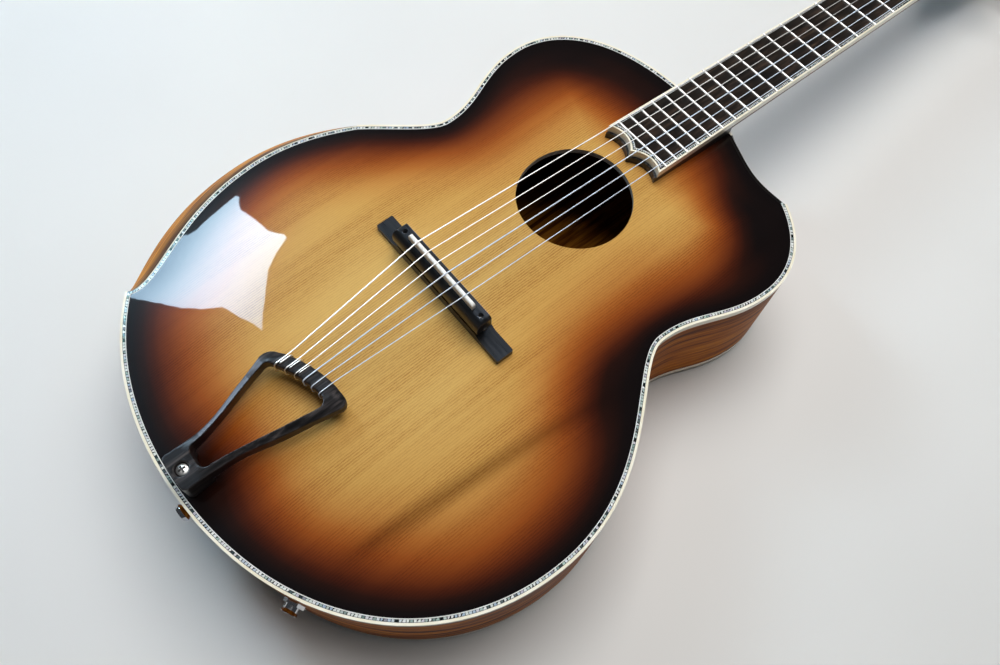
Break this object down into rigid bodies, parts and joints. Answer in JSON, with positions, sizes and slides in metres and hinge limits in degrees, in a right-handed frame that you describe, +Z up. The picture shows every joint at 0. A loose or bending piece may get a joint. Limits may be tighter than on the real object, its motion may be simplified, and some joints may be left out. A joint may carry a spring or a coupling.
{
  "type": "archtop guitar",
  "caption": "Archtop guitar with a carved top, round soundhole, floating height-adjustable bridge, wooden tailpiece, bevelled armrest, bound fingerboard and geared tuners.",
  "frame": {"origin": "under the middle of the guitar's box, on the surface it lies on", "axes": "+X from the tail to the head, +Y towards the bass side, +Z up out of the top"},
  "size_m": [1.0722, 0.4188, 0.1572],
  "materials": {
    "sunburst_top": "high gloss lacquer over a sunburst",
    "figured_wood": "high gloss lacquer",
    "neck_wood": "satin lacquer",
    "pale_wood": "bare",
    "ebony": "satin",
    "cream": "gloss",
    "shell": "gloss, shell with a white line",
    "bone": "polished",
    "fret_wire": "polished",
    "steel": "bright",
    "chrome": "mirror",
    "wound_string": "silvered winding",
    "clear_nylon": "clear",
    "black_plastic": "matt"
  },
  "bodies": {
    "guitar": {"top_plate": "sunburst_top", "bass_side": "figured_wood", "treble_side": "figured_wood", "back_plate": "figured_wood", "armrest_bevel": "figured_wood", "cutaway_bevel": "figured_wood", "neck": "neck_wood", "neck_block": "neck_wood", "tail_block": "neck_wood", "top_lining": "pale_wood", "back_lining": "pale_wood", "tone_bars": "pale_wood", "fingerboard": "ebony", "fingerboard_riser": "ebony", "headplate": "ebony", "heel_cap": "ebony", "bridge_base": "ebony", "tailpiece": "ebony", "top_binding": "cream", "back_binding": "cream", "fingerboard_binding": "cream", "top_purfling": "shell", "fingerboard_purfling": "shell", "nut": "bone", "frets": "fret_wire", "truss_rod": "steel", "tailpiece_screw": "steel", "strap_button_screw": "steel", "tuner_screws": "steel", "bridge_posts": "steel", "strap_button": "chrome", "output_jack": "chrome", "jack_nut": "chrome", "tuner_housings": "chrome", "tuner_bushings": "chrome", "string_6": "wound_string", "string_5": "wound_string", "string_4": "wound_string", "string_3": "clear_nylon", "string_2": "clear_nylon", "string_1": "clear_nylon", "pickup": "black_plastic", "pickup_lead": "black_plastic"},
    "bridge_carriage": {"bridge_carrier": "ebony", "saddle": "bone"},
    "thumbwheel_bass": {"thumbwheel_bass": "chrome"},
    "thumbwheel_treble": {"thumbwheel_treble": "chrome"},
    "tuner_key_1": {"tuner_key_1": "chrome"},
    "tuner_post_1": {"tuner_post_1": "chrome"},
    "tuner_key_2": {"tuner_key_2": "chrome"},
    "tuner_post_2": {"tuner_post_2": "chrome"},
    "tuner_key_3": {"tuner_key_3": "chrome"},
    "tuner_post_3": {"tuner_post_3": "chrome"},
    "tuner_key_4": {"tuner_key_4": "chrome"},
    "tuner_post_4": {"tuner_post_4": "chrome"},
    "tuner_key_5": {"tuner_key_5": "chrome"},
    "tuner_post_5": {"tuner_post_5": "chrome"},
    "tuner_key_6": {"tuner_key_6": "chrome"},
    "tuner_post_6": {"tuner_post_6": "chrome"}
  },
  "joints": [
    {"name": "bridge_height", "type": "slide", "parent": "guitar", "child": "bridge_carriage", "axis": [0, 0, 1], "range_m": [-0.0015, 0.004], "deforming": ["string_1", "string_2", "string_3", "string_4", "string_5", "string_6"]},
    {"name": "thumbwheel_bass_turn", "type": "hinge", "parent": "bridge_carriage", "child": "thumbwheel_bass", "pos_m": [-0.29106, 0.044, 0.1376], "axis": [0, 0, 1], "range_deg": [-776.4, 2062.1]},
    {"name": "thumbwheel_treble_turn", "type": "hinge", "parent": "bridge_carriage", "child": "thumbwheel_treble", "pos_m": [-0.29106, -0.044, 0.1376], "axis": [0, 0, 1], "range_deg": [-776.4, 2062.1]},
    {"name": "tuner_key_6_turn", "type": "hinge", "parent": "guitar", "child": "tuner_key_6", "pos_m": [0.40956, 0.025, 0.05182], "axis": [0, 1, 0], "continuous": true},
    {"name": "tuner_post_6_turn", "type": "hinge", "parent": "guitar", "child": "tuner_post_6", "pos_m": [0.40805, 0.025, 0.07517], "axis": [0.2957, 0, 0.9553], "continuous": true, "deforming": ["string_6"]},
    {"name": "tuner_key_5_turn", "type": "hinge", "parent": "guitar", "child": "tuner_key_5", "pos_m": [0.45064, 0.0235, 0.03911], "axis": [0, 1, 0], "continuous": true},
    {"name": "tuner_post_5_turn", "type": "hinge", "parent": "guitar", "child": "tuner_post_5", "pos_m": [0.44913, 0.0235, 0.06245], "axis": [0.2957, 0, 0.9553], "continuous": true, "deforming": ["string_5"]},
    {"name": "tuner_key_4_turn", "type": "hinge", "parent": "guitar", "child": "tuner_key_4", "pos_m": [0.49172, 0.022, 0.02639], "axis": [0, 1, 0], "continuous": true},
    {"name": "tuner_post_4_turn", "type": "hinge", "parent": "guitar", "child": "tuner_post_4", "pos_m": [0.4902, 0.022, 0.04974], "axis": [0.2957, 0, 0.9553], "continuous": true, "deforming": ["string_4"]},
    {"name": "tuner_key_3_turn", "type": "hinge", "parent": "guitar", "child": "tuner_key_3", "pos_m": [0.49172, -0.022, 0.02639], "axis": [0, -1, 0], "continuous": true},
    {"name": "tuner_post_3_turn", "type": "hinge", "parent": "guitar", "child": "tuner_post_3", "pos_m": [0.4902, -0.022, 0.04974], "axis": [0.2957, 0, 0.9553], "continuous": true, "deforming": ["string_3"]},
    {"name": "tuner_key_2_turn", "type": "hinge", "parent": "guitar", "child": "tuner_key_2", "pos_m": [0.45064, -0.0235, 0.03911], "axis": [0, -1, 0], "continuous": true},
    {"name": "tuner_post_2_turn", "type": "hinge", "parent": "guitar", "child": "tuner_post_2", "pos_m": [0.44913, -0.0235, 0.06245], "axis": [0.2957, 0, 0.9553], "continuous": true, "deforming": ["string_2"]},
    {"name": "tuner_key_1_turn", "type": "hinge", "parent": "guitar", "child": "tuner_key_1", "pos_m": [0.40956, -0.025, 0.05182], "axis": [0, -1, 0], "continuous": true},
    {"name": "tuner_post_1_turn", "type": "hinge", "parent": "guitar", "child": "tuner_post_1", "pos_m": [0.40805, -0.025, 0.07517], "axis": [0.2957, 0, 0.9553], "continuous": true, "deforming": ["string_1"]}
  ],
  "couplings": [
    {"joint": "thumbwheel_bass_turn", "follows": "bridge_height", "rad_per_m": 8976},
    {"joint": "thumbwheel_treble_turn", "follows": "bridge_height", "rad_per_m": 8976},
    {"joint": "tuner_post_6_turn", "follows": "tuner_key_6_turn", "ratio": 0.066667},
    {"joint": "tuner_post_5_turn", "follows": "tuner_key_5_turn", "ratio": 0.066667},
    {"joint": "tuner_post_4_turn", "follows": "tuner_key_4_turn", "ratio": 0.066667},
    {"joint": "tuner_post_3_turn", "follows": "tuner_key_3_turn", "ratio": -0.066667},
    {"joint": "tuner_post_2_turn", "follows": "tuner_key_2_turn", "ratio": -0.066667},
    {"joint": "tuner_post_1_turn", "follows": "tuner_key_1_turn", "ratio": -0.066667}
  ]
}
